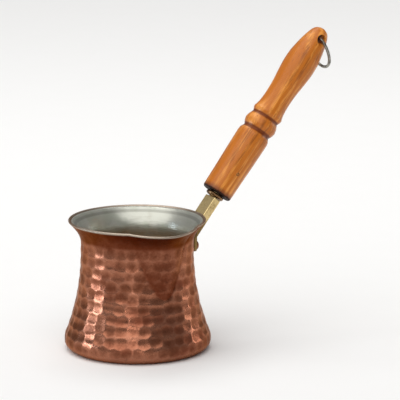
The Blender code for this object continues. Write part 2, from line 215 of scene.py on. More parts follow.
class Wire:
    """One output socket. Arithmetic on it adds the nodes that work it out."""

    def __init__(self, finish, socket):
        self.finish = finish
        self.socket = socket

    def _join(self, word, left, right):
        sockets = [side.socket.type for side in (left, right) if isinstance(side, Wire)]
        kind = "ShaderNodeVectorMath" if "VECTOR" in sockets else "ShaderNodeMath"
        return self.finish.node(kind, {"operation": word}, {0: left, 1: right})

    def __add__(self, other):
        return self._join("ADD", self, other)

    def __sub__(self, other):
        return self._join("SUBTRACT", self, other)

    def __rsub__(self, other):
        return self._join("SUBTRACT", other, self)

    def __mul__(self, other):
        return self._join("MULTIPLY", self, other)

    def __pow__(self, other):
        return self._join("POWER", self, other)


class Finish:
    """A material under construction."""

    def __init__(self, name):
        self.material = bpy.data.materials.new(name)
        self.material.use_nodes = True
        self.tree = self.material.node_tree
        self.shader = self.tree.nodes["Principled BSDF"]

    def _feed(self, socket, value):
        if isinstance(value, Wire):
            self.tree.links.new(value.socket, socket)
        elif socket.type == "RGBA":
            socket.default_value = (*value, 1.0)
        else:
            socket.default_value = value

    def node(self, kind, settings=None, sockets=None, output=0):
        """A node of this kind, its settings made first, then its sockets fed."""
        made = self.tree.nodes.new(kind)
        for name, value in (settings or {}).items():
            setattr(made, name, value)
        for name, value in (sockets or {}).items():
            self._feed(made.inputs[name], value)
        return Wire(self, made.outputs[output])

    def place(self):
        """The object's own coordinates."""
        return self.node("ShaderNodeTexCoord", output=3)

    def place_on_handle(self):
        """Coordinates in the wood's own frame, with Z up the grain."""
        sockets = {
            "Vector": self.place(),
            "Location": tuple(HANDLE_START),
            "Rotation": (0.0, pi / 2 - HANDLE_RISE, 0.0),
        }
        return self.node("ShaderNodeMapping", {"vector_type": "TEXTURE"}, sockets)

    def part(self, at, axis):
        """One of a place's three numbers."""
        return self.node("ShaderNodeSeparateXYZ", None, {0: at}, axis)

    def noise(self, at, scale, detail=3.0, roughness=0.55, distortion=0.0):
        sockets = {
            "Vector": at,
            "Scale": scale,
            "Detail": detail,
            "Roughness": roughness,
            "Distortion": distortion,
        }
        return self.node("ShaderNodeTexNoise", {"normalize": True}, sockets)

    def spread(self, value, low, high, to_low=0.0, to_high=1.0):
        """A value from low to high, mapped smoothly onto another range and held at its ends."""
        sockets = {
            "Value": value,
            "From Min": low,
            "From Max": high,
            "To Min": to_low,
            "To Max": to_high,
        }
        return self.node("ShaderNodeMapRange", {"interpolation_type": "SMOOTHSTEP"}, sockets)

    def mix(self, share, first, second):
        return self.node("ShaderNodeMix", {"data_type": "RGBA"}, {0: share, 6: first, 7: second}, 2)

    def bump(self, height, distance, strength=1.0):
        sockets = {"Strength": strength, "Distance": distance, "Height": height}
        return self.node("ShaderNodeBump", None, sockets)

    def mark(self, name):
        """A number stored on the mesh for each point."""
        return self.node("ShaderNodeAttribute", {"attribute_name": name}, None, 2)

    def surface(self, **sockets):
        """Feeds the shader: base_color=..., roughness=... and so on."""
        for name, value in sockets.items():
            self._feed(self.shader.inputs[name.replace("_", " ").title().replace("Ior", "IOR")], value)
        return self.material


# ---------------------------------------------------------------- mesh tools


def loft(name, rings, marks=None):
    """A closed skin through rings of points, its first and last ring drawn in to a point."""
    rings = np.asarray(rings, float)
    rows, sides, _ = rings.shape
    points = np.vstack([rings.reshape(-1, 3), rings[0].mean(0), rings[-1].mean(0)])
    row = np.arange(rows - 1)[:, None] * sides
    here = np.arange(sides)[None, :]
    beside = (here + 1) % sides
    quads = np.stack([row + here, row + beside, row + sides + beside, row + sides + here], -1)
    first, last = rows * sides, rows * sides + 1
    end = (rows - 1) * sides
    faces = quads.reshape(-1, 4).tolist()
    faces += [(first, int(b), int(a)) for a, b in zip(here[0], beside[0])]
    faces += [(last, int(end + a), int(end + b)) for a, b in zip(here[0], beside[0])]
    mesh = bpy.data.meshes.new(name)
    mesh.from_pydata(points.tolist(), [], faces)
    for mark, values in (marks or {}).items():
        values = np.asarray(values, float)
        flat = np.concatenate([values.ravel(), [values[0].mean(), values[-1].mean()]])
        mesh.attributes.new(mark, "FLOAT", "POINT").data.foreach_set("value", flat.astype(np.float32))
    first_corner, second_corner, third_corner = points[quads.reshape(-1, 4)[:, :3].T]
    if (first_corner * np.cross(second_corner, third_corner)).sum() < 0:
        mesh.flip_normals()
    mesh.shade_smooth()
    return mesh


def rings_at(profile, angle):
    """Rings of points round Z, at these angles, from (radius, height) pairs."""
    return np.stack(
        [
            profile[:, :1] * np.cos(angle),
            profile[:, :1] * np.sin(angle),
            np.broadcast_to(profile[:, 1:], (len(profile), len(angle))),
        ],
        -1,
    )


def turned_rings(profile, sides):
    """Rings of points round Z, evenly spaced, from (radius, height) pairs."""
    return rings_at(np.asarray(profile, float), np.linspace(0.0, 2 * pi, sides, endpoint=False))


def evenly(points, step):
    """The same line through points about a step apart."""
    points = np.asarray(points, float)
    along = np.concatenate([[0.0], np.cumsum(np.linalg.norm(np.diff(points, axis=0), axis=1))])
    count = max(int(round(along[-1] / step)), 2) + 1
    places = np.linspace(0.0, along[-1], count)
    return np.stack([np.interp(places, along, points[:, i]) for i in range(points.shape[1])], -1)


def smooth_line(points, count):
    """A smooth line through every point, by cubic pieces that don't overshoot."""
    points = np.asarray(points, float)
    x, y = points[:, 0], points[:, 1]
    run = np.diff(x)
    slope = np.diff(y) / run
    tangent = np.zeros(len(x))
    same = slope[:-1] * slope[1:] > 0
    tangent[1:-1][same] = 2 * slope[:-1][same] * slope[1:][same] / (slope[:-1] + slope[1:])[same]
    tangent[0], tangent[-1] = slope[0], slope[-1]
    at = np.linspace(x[0], x[-1], count)
    piece = np.clip(np.searchsorted(x, at, side="right") - 1, 0, len(x) - 2)
    t = (at - x[piece]) / run[piece]
    rise = run[piece]
    value = (
        (1 + 2 * t) * (1 - t) ** 2 * y[piece]
        + t * (1 - t) ** 2 * rise * tangent[piece]
        + t**2 * (3 - 2 * t) * y[piece + 1]
        + t**2 * (t - 1) * rise * tangent[piece + 1]
    )
    return np.stack([at, value], -1)


def face_outwards(mesh):
    """Turns the faces of a closed mesh outwards."""
    shape = bmesh.new()
    shape.from_mesh(mesh)
    bmesh.ops.recalc_face_normals(shape, faces=shape.faces)
    shape.to_mesh(mesh)
    shape.free()


def add_object(name, data):
    """A new object in the scene that holds this mesh, light or camera."""
    made = bpy.data.objects.new(name, data)
    bpy.context.scene.collection.objects.link(made)
    return made


def add_piece(name, mesh, material, slot, body, *nodes, at=None):
    """Puts a piece in place of CAD nodes and lets it move with its body."""
    if at is not None:
        mesh.transform(at)
    made = add_object(name, mesh)
    mesh.materials.clear()
    mesh.materials.append(material)
    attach(made, body)
    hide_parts(*nodes)
    return made


def cut(obj, *tools):
    """Cuts the tools' shapes out of a piece for good."""
    cutters = [add_object(f"tool_{number}", mesh) for number, mesh in enumerate(tools)]
    for tool in cutters:
        step = obj.modifiers.new("Cut", "BOOLEAN")
        step.operation = "DIFFERENCE"
        step.solver = "EXACT"
        step.object = tool
    finish_modifiers(obj)
    for tool in cutters:
        bpy.data.objects.remove(tool)


def finish_modifiers(obj):
    """Turns what the modifiers make into the object's own mesh."""
    bpy.context.view_layer.update()
    graph = bpy.context.evaluated_depsgraph_get()
    mesh = bpy.data.meshes.new_from_object(obj.evaluated_get(graph))
    obj.modifiers.clear()
    obj.data = mesh


def handle_frame():
    """The wood's own frame: its origin at the pot's end, its Z up the middle of the handle."""
    return Matrix.Translation(HANDLE_START) @ Matrix.Rotation(pi / 2 - HANDLE_RISE, 4, "Y")


# ---------------------------------------------------------------- the pot's shape


class PotShape:
    """The pot's outer surface, as rows of points round its axis, and its hammer marks."""

    def __init__(self, size, sides):
        self.size = size
        self.angle = np.linspace(-pi, pi, sides, endpoint=False)
        self.corner_top = size.base_corner * (1 + sin(CORNER_LEAN))

    def radius_at(self, height):
        size = self.size
        lip_foot = size.height - size.lip_height
        rise = np.clip((height - lip_foot) / size.lip_height, 0, 1)
        drop = np.clip((size.neck_height - height) / (size.neck_height - self.corner_top), 0, 1)
        lip = (size.rim_radius - size.neck_radius) * rise**LIP_FLARE
        body = (size.belly_radius - size.neck_radius) * drop**BODY_FLARE
        return size.neck_radius + lip + body

    def profile(self, step):
        """(radius, height) down the outside from the rim to the middle of the base."""
        size = self.size
        heights = np.linspace(size.height, self.corner_top, 500)
        wall = np.stack([self.radius_at(heights), heights], -1)
        angles = np.linspace(CORNER_LEAN, -pi / 2, 60)[1:]
        middle = size.belly_radius - size.base_corner * cos(CORNER_LEAN)
        corner = np.stack(
            [middle + size.base_corner * np.cos(angles), size.base_corner * (1 + np.sin(angles))], -1
        )
        inwards = np.linspace(corner[-1, 0], 1.0 * MM, 40)[1:]
        base = np.stack([inwards, np.zeros_like(inwards)], -1)
        return evenly(np.vstack([wall, corner, base]), step)

    def rows(self, line):
        """Points, normals and distance down the wall for each (radius, height) of a line."""
        tangent = np.gradient(line, axis=0)
        tangent /= np.linalg.norm(tangent, axis=1)[:, None]
        along = np.concatenate([[0.0], np.cumsum(np.linalg.norm(np.diff(line, axis=0), axis=1))])
        points = rings_at(line, self.angle)
        outward = rings_at(tangent[:, ::-1] * (-1, 1), self.angle)
        return self.press_spout(points), outward, along

    def press_spout(self, points):
        """Pushes the lip and the neck out into a spout on the -Y side, with a fold below it."""
        size = self.size
        share, away = self.in_spout(points)
        inside = (share > 0) & (away < 1)
        swell = np.where(inside, 1 - np.clip(away, 0, 1) ** 1.5, 0.0)
        flat = np.linalg.norm(points[..., :2], axis=-1)[..., None] + 1e-9
        out = points[..., :2] / flat * (size.spout_reach * swell * share**0.65)[..., None]
        moved = points.copy()
        moved[..., :2] += out
        moved[..., 2] -= size.spout_dip * swell * share**6
        return moved

    def in_spout(self, points):
        """How far up the fold each point is, and how far across it: 1 on its edges."""
        size = self.size
        share = np.clip((points[..., 2] - size.spout_foot) / (size.height - size.spout_foot), 0, 1)
        half_angle = SPOUT_HALF_ANGLE * share**SPOUT_WIDENING + 1e-9
        return share, np.abs(np.arctan2(points[..., 0], -points[..., 1])) / half_angle

    def fold_shade(self, points):
        """How much painted shade the spout's fold gets at each point: most at its edges and its foot."""
        share, away = self.in_spout(points)
        apart = (away - 1) * SPOUT_HALF_ANGLE * share**SPOUT_WIDENING * self.size.neck_radius
        edge_width, fade_width = 1.3 * MM, 2.8 * MM
        line = np.exp(-((apart / edge_width) ** 2))
        inside = np.clip(0.5 - apart / fade_width, 0, 1)
        tip = inside * np.clip(1 - share / 0.50, 0, 1) ** 0.8
        return np.clip(line * (0.65 - 0.35 * share) + 0.36 * inside + 0.62 * tip, 0, 1) * (share > 0)

    def hammer(self, line, along, depth_scale=1.0):
        """Depth of the hammer marks at each point: rows of shallow hollows that meet at ridges."""
        size = self.size
        radius = line[:, 0]
        start = along[np.argmin(np.abs(line[:, 1] - (size.height - size.lip_height)))] - 0.6 * MM
        end = along[np.argmax(line[:, 1] <= 1.2 * MM)]
        chance = np.random.default_rng(11)
        row_count = int((end - start) / size.mark_pitch)
        middle_radius = np.interp(start + (np.arange(row_count) + 0.5) * size.mark_pitch, along, radius)
        counts = np.maximum((2 * pi * middle_radius / size.mark_width).round().astype(int), 8)
        jitter = chance.normal(0.0, 1.0, (row_count, counts.max() + 1, 4))
        offset = chance.uniform(0, 2 * pi, row_count)
        here = (along - start) / size.mark_pitch
        first = np.floor(here).astype(int)
        hollow = np.full((len(along), len(self.angle)), 1.0)
        side_ridge, row_ridge = 0.62, 0.95
        stray_along, stray_down, uneven_depth = 0.10, 0.07, 0.16
        wide = size.mark_width**2 / (8 * side_ridge * size.mark_depth)
        tall = size.mark_pitch**2 / (8 * row_ridge * size.mark_depth)
        for row_step in (-1, 0, 1):
            row = first + row_step
            known = (row >= 0) & (row < row_count)
            row = np.clip(row, 0, row_count - 1)
            count = counts[row][:, None]
            turn = 2 * pi / count
            column = np.floor((self.angle[None] - offset[row][:, None]) / turn).astype(int)
            for side in (-1, 0, 1):
                slot = (column + side) % count
                shake = jitter[row[:, None], slot]
                middle = column + side + 0.5 + stray_along * shake[..., 0]
                middle = offset[row][:, None] + middle * turn
                across = (self.angle[None] - middle) * radius[:, None]
                down = (here - row - 0.5)[:, None] * size.mark_pitch
                down = down - stray_down * shake[..., 1] * size.mark_pitch
                bowl = across**2 / (2 * wide) + down**2 / (2 * tall)
                bowl = bowl - size.mark_depth * (1 + uneven_depth * shake[..., 2])
                hollow = np.where(known[:, None], np.minimum(hollow, bowl), hollow)
        return np.maximum(-hollow, 0.0) * depth_scale


def pot_mesh(size):
    """The copper: its hammered outside, the rounded edge of its lip and its plain inside."""
    outer_step, inner_step, lift = 0.62 * MM, 2.4 * MM, 0.45 * MM
    shape = PotShape(size, 384)
    line = shape.profile(outer_step)
    outer, outward, along = shape.rows(line)
    marks = shape.hammer(line, along)
    out_of_round = 0.06 * MM
    above_base = line[:, 1:] > 4 * MM
    round_off = out_of_round * (1 + np.cos(2 * shape.angle + 0.7))[None] * above_base
    outer = outer - outward * (marks + round_off)[..., None]
    keep = along > lift
    rim_point, rim_out = outer[keep][0], outward[keep][0]
    rim_up = outer[keep][0] - outer[keep][1]
    rim_up /= np.linalg.norm(rim_up, axis=-1)[:, None]
    bend = np.linspace(0, pi, 9)[1:-1]
    half = size.wall / 2
    edge = [
        rim_point - rim_out * (half - half * cos(b)) + rim_up * (0.85 * half * sin(b)) for b in bend
    ]
    inner, inner_out, inner_along = shape.rows(shape.profile(inner_step))
    inner = (inner - inner_out * size.wall)[inner_along > lift]
    inner[0] = rim_point - rim_out * size.wall
    rings = np.concatenate([outer[keep][::-1], np.array(edge), inner])
    depth = np.zeros(rings.shape[:2])
    depth[: keep.sum()] = (marks[keep] / size.mark_depth)[::-1]
    edge_mark = np.zeros(rings.shape[:2])
    edge_mark[keep.sum() - 1 : keep.sum() + len(edge) + 1] = 1.0
    # Painted shade in the spout's fold, kept on the mesh for the copper's colour.
    fold = np.zeros(rings.shape[:2])
    fold[: keep.sum()] = shape.fold_shade(rings_at(line, shape.angle))[keep][::-1]
    return loft("pot_body", rings, {"hollow": depth, "edge": edge_mark, "fold": fold})


def lining_mesh(size):
    """The tin: a thin skin inside the copper, with softer hammer marks and a turned line."""
    face_step, back_step, lift = 0.75 * MM, 3.0 * MM, 0.75 * MM
    back_depth = size.wall + 0.05 * MM
    lip_depth, settled_depth, settle_over = 0.18 * MM, 0.40 * MM, 9 * MM
    turned_at, turned_width, turned_depth = 2.2 * MM, 0.35 * MM, 0.10 * MM
    shape = PotShape(size, 320)
    line = shape.profile(face_step)
    face, outward, along = shape.rows(line)
    marks = shape.hammer(line, along, 0.45)
    keep = along > lift
    settle = np.clip(along / settle_over, 0, 1)
    settle = settle**2 * (3 - 2 * settle)
    turned = turned_depth * np.exp(-(((along - turned_at) / turned_width) ** 2))
    depth = size.wall + lip_depth + settled_depth * settle + turned
    seen = (face - outward * (depth[:, None] + marks)[..., None])[keep]
    back, back_out, back_along = shape.rows(shape.profile(back_step))
    back = (back - back_out * back_depth)[back_along > lift]
    back[0] = face[keep][0] - outward[keep][0] * back_depth
    rings = np.concatenate([seen[::-1], back])
    level = np.zeros(rings.shape[:2])
    level[: len(seen)] = (marks[keep] / size.mark_depth)[::-1]
    return loft("tin_lining", rings, {"hollow": level})


# ---------------------------------------------------------------- finishes


def copper_finish(settings):
    finish = Finish("hammered_copper")
    here = finish.place()
    height = finish.part(here, 2)
    cloud = finish.noise(here, 95.0, 4.0, 0.6)
    fine = finish.noise(here, 900.0, 5.0, 0.65)
    hollow = finish.mark("hollow")
    patina = finish.spread(hollow * 0.20 + cloud * 0.80 + fine * 0.35, 0.48, 0.92)
    shade = finish.mix(patina, tuple(settings.copper), tuple(settings.patina))
    blush = finish.noise(here * (1.0, 1.0, 2.2), 38.0, 3.0, 0.5)
    shade = finish.mix(finish.spread(blush, 0.45, 0.75, 0.0, 0.40), shade, COPPER_BLUSH)
    rubbed = finish.spread(hollow, 0.0, 0.22, 0.40, 0.0) * finish.spread(fine, 0.3, 0.6)
    shade = finish.mix(rubbed, shade, COPPER_RUBBED)
    spots = finish.spread(finish.noise(here, 420.0, 4.0, 0.7), 0.60, 0.72)
    shade = finish.mix(spots * 0.5, shade, COPPER_SPOT)
    # Painted shade on the outside of the lip, which faces down: dark from just above the neck up to the
    # rim, in streaky patches.
    under_lip = finish.spread(height + cloud * 0.003, 0.0580, 0.0615, 0.0, 0.95)
    streaks = finish.noise(here * (1.0, 1.0, 0.35), 240.0, 4.0, 0.65)
    patchiness = finish.spread(streaks * 0.7 + fine * 0.4, 0.38, 0.66, 0.82, 1.0)
    shade = finish.mix(under_lip * patchiness, shade, tuple(settings.painted_shade))
    # Painted shade in the spout's fold, broken up by noise.
    fold_mottle = finish.spread(cloud * 0.6 + fine * 0.6, 0.45, 0.75, 0.78, 1.0)
    shade = finish.mix(finish.mark("fold") * fold_mottle, shade, tuple(settings.painted_shade))
    edge = finish.mark("edge")
    shade = finish.mix(edge, shade, tuple(settings.rim))
    rough = finish.spread(cloud + fine * 0.5 + patina * 0.3, 0.3, 1.5, 0.20, 0.46)
    rough = rough + under_lip * patchiness * 0.15
    skin = finish.bump(fine * 0.6 + finish.noise(here, 2600.0, 3.0, 0.6) * 0.4, 0.00006, 0.6)
    gloss = 0.10 - under_lip * 0.10
    return finish.surface(
        base_color=shade,
        metallic=1.0,
        roughness=rough,
        normal=skin,
        coat_weight=gloss,
        coat_roughness=0.22,
        specular_tint=COPPER_GRAZING,
    )


def tin_finish(settings):
    finish = Finish("tinned_inside")
    here = finish.place()
    height = finish.part(here, 2)
    cloud = finish.noise(here, 70.0, 4.0, 0.6, 0.4)
    wipe = finish.noise(here * (0.30, 0.30, 3.0), 420.0, 4.0, 0.6)
    low = finish.spread(height + cloud * 0.006, 0.0570, 0.0640, 1.0, 0.0)
    stain = finish.spread(cloud * 0.70 + wipe * 0.45 + low * 0.42, 0.56, 1.10)
    shade = finish.mix(stain, tuple(settings.tin), tuple(settings.tin_stain))
    green = finish.spread(finish.noise(here, 130.0, 3.0, 0.5), 0.46, 0.66, 0.0, 0.45)
    shade = finish.mix(green, shade, TIN_GREEN)
    # Painted shade along the turned groove just below the rim: a thin dark line.
    turned = finish.spread(height, 0.0650, 0.0656) * finish.spread(height, 0.0669, 0.0663)
    shade = finish.mix(turned * 0.45, shade, TIN_GROOVE_SHADE)
    brown = finish.spread(height + cloud * 0.006, 0.0470, 0.0620, 1.0, 0.0)
    brown = brown * finish.spread(cloud * 0.7 + wipe * 0.5, 0.35, 0.85, 0.40, 0.85)
    shade = finish.mix(brown, shade, TIN_BROWN)
    rough = finish.spread(cloud * 0.5 + wipe * 0.7 + stain * 0.3, 0.4, 1.1, 0.28, 0.54)
    skin = finish.bump(wipe * 0.8 + cloud * 0.2, 0.00018, 0.7)
    return finish.surface(base_color=shade, metallic=0.72, roughness=rough, normal=skin)


def brass_finish(settings):
    finish = Finish("cast_brass")
    here = finish.place()
    height = finish.part(here, 2)
    cloud = finish.noise(here, 160.0, 4.0, 0.6)
    grit = finish.noise(here, 1500.0, 4.0, 0.6)
    # Painted shade on the plate under the lip: the brass darkens below the lip's edge, on top of random
    # tarnish.
    low = finish.spread(height + cloud * 0.003, 0.0600, 0.0680, 0.5, 0.0)
    darkening = finish.spread(cloud * 0.8 + grit * 0.35 + low, 0.50, 0.90)
    shade = finish.mix(darkening, tuple(settings.brass), tuple(settings.brass_dark))
    rough = finish.spread(cloud + grit * 0.4, 0.4, 1.1, 0.32, 0.56)
    skin = finish.bump(grit * 0.7 + cloud * 0.3, 0.00012, 0.6)
    return finish.surface(base_color=shade, metallic=0.92, roughness=rough, normal=skin)


def collar_finish():
    finish = Finish("turned_brass")
    here = finish.place()
    cloud = finish.noise(here, 420.0, 4.0, 0.6)
    lines = finish.noise(finish.place_on_handle() * (0.05, 0.05, 1.0), 5200.0, 2.0, 0.5)
    darkening = finish.spread(cloud, 0.36, 0.62)
    shade = finish.mix(darkening, COLLAR_BRASS, COLLAR_DULL)
    rough = finish.spread(cloud, 0.3, 0.7, 0.28, 0.46)
    skin = finish.bump(lines * 0.6 + cloud * 0.4, 0.00008, 0.5)
    return finish.surface(base_color=shade, metallic=0.92, roughness=rough, normal=skin)


def rivet_finish(settings):
    finish = Finish("rivet_copper")
    here = finish.place()
    cloud = finish.noise(here, 600.0, 4.0, 0.6)
    grime = finish.spread(cloud, 0.42, 0.66)
    shade = finish.mix(grime, tuple(settings.copper), tuple(settings.patina))
    rough = finish.spread(cloud, 0.3, 0.7, 0.28, 0.5)
    skin = finish.bump(cloud, 0.00008, 0.5)
    return finish.surface(base_color=shade, metallic=1.0, roughness=rough, normal=skin)


def wood_finish(settings):
    finish = Finish("oiled_wood")
    here = finish.place_on_handle()
    up = finish.part(here, 2)
    warp = finish.noise(here * (1.0, 1.0, 0.22), 90.0, 3.0, 0.5) - 0.5
    off_x = finish.part(here, 0) + 0.021
    off_y = finish.part(here, 1) + 0.006
    ring = (off_x * off_x + off_y * off_y) ** 0.5 + warp * 0.0045 + up * 0.018
    growth = finish.node("ShaderNodeMath", {"operation": "SINE"}, {0: ring * (2 * pi / 0.0034)})
    growth = growth * 0.5 + 0.5
    fibre = finish.noise(here * (1.0, 1.0, 0.05), 1300.0, 4.0, 0.6)
    pore = finish.spread(finish.noise(here * (1.0, 1.0, 0.07), 2600.0, 2.0, 0.6), 0.62, 0.72)
    tone = finish.noise(here * (1.0, 1.0, 0.45), 75.0, 3.0, 0.55)
    light = finish.spread(growth * 0.30 + fibre * 0.55 + tone * 0.75, 0.70, 1.15)
    shade = finish.mix(light, tuple(settings.wood), tuple(settings.wood_light))
    dark = finish.spread(growth * 0.25 + (1.0 - fibre) * 0.50 + (1.0 - tone) * 0.75, 0.76, 1.10)
    shade = finish.mix(dark * 0.70, shade, tuple(settings.wood_dark))
    shade = finish.mix(pore * 0.45, shade, tuple(settings.wood_dark))
    # Painted shade in the turned grooves.
    shade = finish.mix(finish.mark("groove_shade") * 0.85, shade, WOOD_GROOVE_SHADE)
    # Darker towards the wood's end by the pot, near black at the very end.
    ragged = finish.noise(here * (1.0, 1.0, 0.3), 500.0, 3.0, 0.6) * 0.0016
    darker_end = finish.spread(up + ragged, 0.0018, 0.0046, 0.75, 0.0)
    shade = finish.mix(darker_end, shade, WOOD_END_BROWN)
    darkest_end = finish.spread(up + ragged, 0.0011, 0.0021, 1.0, 0.0)
    shade = finish.mix(darkest_end * 0.96, shade, tuple(settings.end_dark))
    rough = finish.spread(fibre * 0.5 + tone * 0.5, 0.3, 1.1, 0.32, 0.52) + darkest_end * 0.3
    oil = (0.20 - darkest_end * 0.20) * (1.0 - finish.mark("groove_shade"))
    skin = finish.bump(fibre * 0.5 - pore * 0.4 + growth * 0.12, 0.00008, 0.6)
    return finish.surface(
        base_color=shade,
        roughness=rough,
        normal=skin,
        coat_weight=oil,
        coat_roughness=0.20,
        specular_ior_level=0.2,
    )


def wire_finish(name, clean, dull):
    finish = Finish(name)
    here = finish.place()
    cloud = finish.noise(here, 420.0, 4.0, 0.65)
    grit = finish.noise(here, 2400.0, 3.0, 0.6)
    patchiness = finish.spread(cloud * 0.8 + grit * 0.3, 0.50, 0.72)
    shade = finish.mix(patchiness, tuple(clean), tuple(dull))
    rough = finish.spread(cloud + grit * 0.3, 0.4, 1.0, 0.28, 0.6)
    skin = finish.bump(grit, 0.00005, 0.5)
    return finish.surface(base_color=shade, metallic=1.0, roughness=rough, normal=skin)


# ---------------------------------------------------------------- pieces


class AddPotBody(bpy.types.Operator):
    """Adds the hammered copper pot"""

    bl_idname = "coffee_pot.add_pot_body"
    bl_label = "Add copper pot"

    def execute(self, context):
        settings = context.scene.coffee_pot
        mesh, material = pot_mesh(settings), copper_finish(settings)
        add_piece("pot_hammered", mesh, material, "hammered_copper", "pot", "pot_body")
        return {"FINISHED"}


class AddTinLining(bpy.types.Operator):
    """Adds the tinned inside of the pot"""

    bl_idname = "coffee_pot.add_tin_lining"
    bl_label = "Add tinned inside"

    def execute(self, context):
        settings = context.scene.coffee_pot
        mesh, material = lining_mesh(settings), tin_finish(settings)
        add_piece("pot_tinned_inside", mesh, material, "tinned_inside", "pot", "tin_lining")
        return {"FINISHED"}


class AddBracket(bpy.types.Operator):
    """Adds the cast brass bracket, softened at its edges"""

    bl_idname = "coffee_pot.add_bracket"
    bl_label = "Add brass bracket"

    def execute(self, context):
        mesh = frame["nodes"]["handle_bracket"].data.copy()
        material = brass_finish(context.scene.coffee_handle)
        made = add_piece("bracket_cast", mesh, material, "cast_brass", "pot", "handle_bracket")
        cast = made.modifiers.new("Cast", "REMESH")
        cast.mode = "VOXEL"
        cast.voxel_size = 0.26 * MM
        cast.use_smooth_shade = True
        soft = made.modifiers.new("Soft", "SMOOTH")
        soft.factor = 0.5
        soft.iterations = 9
        finish_modifiers(made)
        made.data.shade_smooth()
        return {"FINISHED"}


class AddRivets(bpy.types.Operator):
    """Adds the two hammered rivets"""

    bl_idname = "coffee_pot.add_rivets"
    bl_label = "Add rivets"

    def execute(self, context):
        settings = context.scene.coffee_pot
        material = rivet_finish(settings)
        face = settings.neck_radius + PIECE_GAP + PLATE_THICKNESS + RIVET_SEAT
        tail = RIVET_TAIL_RADIUS - face
        for number, node in enumerate(("rivet_left", "rivet_right")):
            low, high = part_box(node)
            middle = (low + high) / 2
            outward = Vector((middle.x, middle.y, 0)).normalized()
            turn = Vector((0, 0, 1)).rotation_difference(outward).to_matrix().to_4x4()
            at = Matrix.Translation(outward * face + Vector((0, 0, middle.z))) @ turn
            mesh = rivet_mesh(number, tail)
            add_piece(f"{node}_hammered", mesh, material, "rivet_copper", "pot", node, at=at)
        return {"FINISHED"}


def rivet_mesh(number, tail):
    """A rivet about Z: a domed head with hammer flats, a shank and a flat tail head."""
    dome = [(2.4 * sin(a), 1.45 * cos(a)) for a in np.linspace(0.03, pi / 2, 16)]
    end = tail / MM
    rest = [(2.36, -0.08), (1.5, -0.10), (1.5, end + 0.05), (2.3, end + 0.03), (2.4, end - 0.2)]
    rest += [(2.3, end - 0.55), (1.9, end - 0.78), (0.9, end - 0.86), (0.05, end - 0.88)]
    rings = turned_rings(evenly(np.array(dome + rest) * MM, 0.14 * MM), 48)
    hammer_flats = 11
    chance = np.random.default_rng(5 + number)
    for _ in range(hammer_flats):
        lean = chance.uniform(0.0, 1.1)
        spin = chance.uniform(0, 2 * pi)
        normal = np.array([sin(lean) * cos(spin), sin(lean) * sin(spin), cos(lean)])
        limit = (1.31 + 0.95 * lean + chance.normal(0, 0.03)) * MM
        over = np.maximum(rings @ normal - limit, 0) * (rings[..., 2] > 0)
        rings = rings - over[..., None] * normal
    return loft("rivet", rings)


class AddCollar(bpy.types.Operator):
    """Adds the turned brass collar under the wood"""

    bl_idname = "coffee_pot.add_collar"
    bl_label = "Add brass collar"

    def execute(self, context):
        outline = np.array(
            [(2.35, 2.0), (2.5, 2.15), (3.6, 2.2), (4.3, 2.05), (4.8, 1.7), (4.98, 1.2)]
            + [(4.98, 1.0), (4.8, 0.5), (4.3, 0.15), (3.6, 0.0), (2.5, 0.05), (2.35, 0.2)]
        )
        loop = np.vstack([outline, outline[:1]]) * MM
        rings = turned_rings(evenly(loop, 0.16 * MM)[:-1], 72)
        mesh = hoop("handle_collar", rings)
        at = handle_frame() @ Matrix.Translation((0, 0, -COLLAR_DROP))
        material = collar_finish()
        add_piece("collar_turned", mesh, material, "cast_brass", "pot", "handle_collar", at=at)
        return {"FINISHED"}


def hoop(name, rings):
    """A closed ring-shaped skin: the last ring joins the first."""
    rows, sides, _ = rings.shape
    row = np.arange(rows)[:, None]
    side = np.arange(sides)[None]
    after, beside = (row + 1) % rows, (side + 1) % sides
    quads = np.stack(
        [row * sides + side, row * sides + beside, after * sides + beside, after * sides + side], -1
    )
    mesh = bpy.data.meshes.new(name)
    mesh.from_pydata(rings.reshape(-1, 3).tolist(), [], quads.reshape(-1, 4).tolist())
    face_outwards(mesh)
    mesh.shade_smooth()
    return mesh


def rod(name, radius, start, end):
    """A plain rod between two points, used as a drill."""
    along = Vector(end) - Vector(start)
    shape = bmesh.new()
    bmesh.ops.create_cone(
        shape, cap_ends=True, segments=40, radius1=radius, radius2=radius, depth=along.length
    )
    mesh = bpy.data.meshes.new(name)
    shape.to_mesh(mesh)
    shape.free()
    turn = Vector((0, 0, 1)).rotation_difference(along.normalized()).to_matrix().to_4x4()
    mesh.transform(Matrix.Translation((Vector(start) + Vector(end)) / 2) @ turn)
    return mesh


